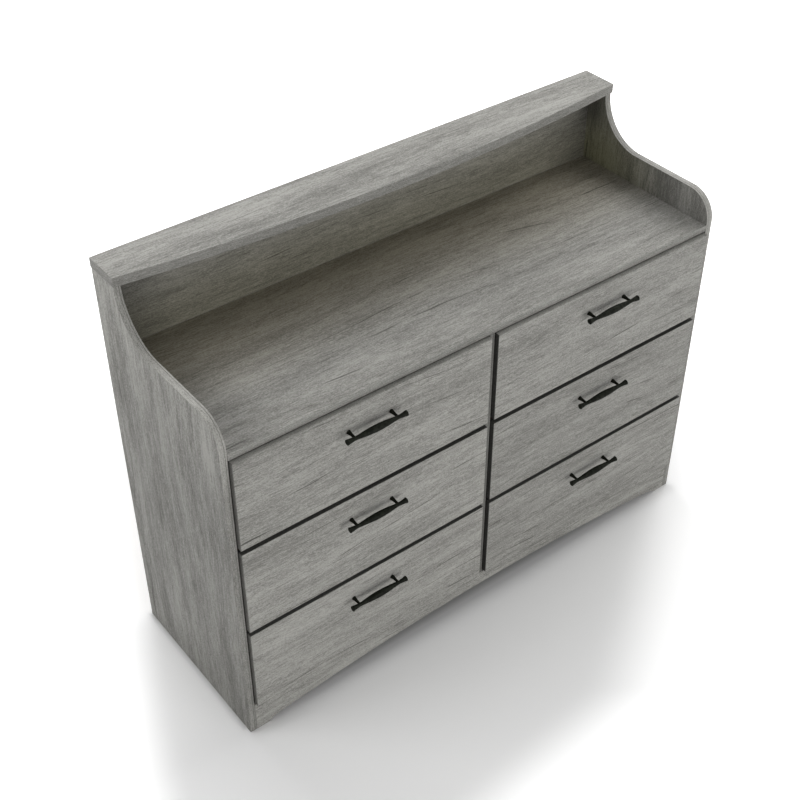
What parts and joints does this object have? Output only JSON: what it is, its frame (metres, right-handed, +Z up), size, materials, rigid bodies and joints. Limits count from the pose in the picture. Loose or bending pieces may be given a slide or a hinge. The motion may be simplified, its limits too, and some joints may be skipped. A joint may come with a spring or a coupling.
{
  "type": "dresser",
  "caption": "Wide wood-grain dresser with two columns of sliding drawers, spindle pulls, an arched base and a low open shelf under a bowed cap board.",
  "frame": {"origin": "on the floor, in the middle of the dresser's whole outline seen from above, pulls included", "axes": "+X to the viewer's right along the front, +Y towards the back, +Z up; the drawers open towards -Y"},
  "size_m": [1.207, 0.44, 0.937],
  "materials": {
    "side_panel_oak": "grey oak grain, upright, satin",
    "case_oak": "grey oak grain, lengthwise, satin",
    "front_oak": "grey oak grain, lengthwise, satin",
    "inner_board": "plain board, matt",
    "drawer_board": "plain board, matt",
    "thin_sheet": "thin hardboard, matt",
    "runner_plastic": "smooth",
    "pull_black": "black, satin"
  },
  "bodies": {
    "carcass": {"left_side_panel": "side_panel_oak", "right_side_panel": "side_panel_oak", "cap_board": "case_oak", "hutch_back_panel": "case_oak", "deck_board": "case_oak", "centre_divider": "side_panel_oak", "bottom_board": "inner_board", "apron": "case_oak", "rear_rail": "inner_board", "centre_foot": "inner_board", "left_back_sheet": "thin_sheet", "right_back_sheet": "thin_sheet", "top_left_left_runner": "runner_plastic", "top_left_right_runner": "runner_plastic", "top_right_left_runner": "runner_plastic", "top_right_right_runner": "runner_plastic", "middle_left_left_runner": "runner_plastic", "middle_left_right_runner": "runner_plastic", "middle_right_left_runner": "runner_plastic", "middle_right_right_runner": "runner_plastic", "bottom_left_left_runner": "runner_plastic", "bottom_left_right_runner": "runner_plastic", "bottom_right_left_runner": "runner_plastic", "bottom_right_right_runner": "runner_plastic"},
    "top_left_drawer": {"top_left_drawer_front": "front_oak", "top_left_drawer_left_side": "drawer_board", "top_left_drawer_right_side": "drawer_board", "top_left_drawer_back": "drawer_board", "top_left_drawer_bottom": "thin_sheet", "top_left_drawer_pull": "pull_black"},
    "top_right_drawer": {"top_right_drawer_front": "front_oak", "top_right_drawer_left_side": "drawer_board", "top_right_drawer_right_side": "drawer_board", "top_right_drawer_back": "drawer_board", "top_right_drawer_bottom": "thin_sheet", "top_right_drawer_pull": "pull_black"},
    "middle_left_drawer": {"middle_left_drawer_front": "front_oak", "middle_left_drawer_left_side": "drawer_board", "middle_left_drawer_right_side": "drawer_board", "middle_left_drawer_back": "drawer_board", "middle_left_drawer_bottom": "thin_sheet", "middle_left_drawer_pull": "pull_black"},
    "middle_right_drawer": {"middle_right_drawer_front": "front_oak", "middle_right_drawer_left_side": "drawer_board", "middle_right_drawer_right_side": "drawer_board", "middle_right_drawer_back": "drawer_board", "middle_right_drawer_bottom": "thin_sheet", "middle_right_drawer_pull": "pull_black"},
    "bottom_left_drawer": {"bottom_left_drawer_front": "front_oak", "bottom_left_drawer_left_side": "drawer_board", "bottom_left_drawer_right_side": "drawer_board", "bottom_left_drawer_back": "drawer_board", "bottom_left_drawer_bottom": "thin_sheet", "bottom_left_drawer_pull": "pull_black"},
    "bottom_right_drawer": {"bottom_right_drawer_front": "front_oak", "bottom_right_drawer_left_side": "drawer_board", "bottom_right_drawer_right_side": "drawer_board", "bottom_right_drawer_back": "drawer_board", "bottom_right_drawer_bottom": "thin_sheet", "bottom_right_drawer_pull": "pull_black"}
  },
  "joints": [
    {"name": "top_left_slide", "type": "slide", "parent": "carcass", "child": "top_left_drawer", "axis": [0, -1, 0], "range_m": [0, 0.25]},
    {"name": "top_right_slide", "type": "slide", "parent": "carcass", "child": "top_right_drawer", "axis": [0, -1, 0], "range_m": [0, 0.25]},
    {"name": "middle_left_slide", "type": "slide", "parent": "carcass", "child": "middle_left_drawer", "axis": [0, -1, 0], "range_m": [0, 0.25]},
    {"name": "middle_right_slide", "type": "slide", "parent": "carcass", "child": "middle_right_drawer", "axis": [0, -1, 0], "range_m": [0, 0.25]},
    {"name": "bottom_left_slide", "type": "slide", "parent": "carcass", "child": "bottom_left_drawer", "axis": [0, -1, 0], "range_m": [0, 0.25]},
    {"name": "bottom_right_slide", "type": "slide", "parent": "carcass", "child": "bottom_right_drawer", "axis": [0, -1, 0], "range_m": [0, 0.25]}
  ]
}
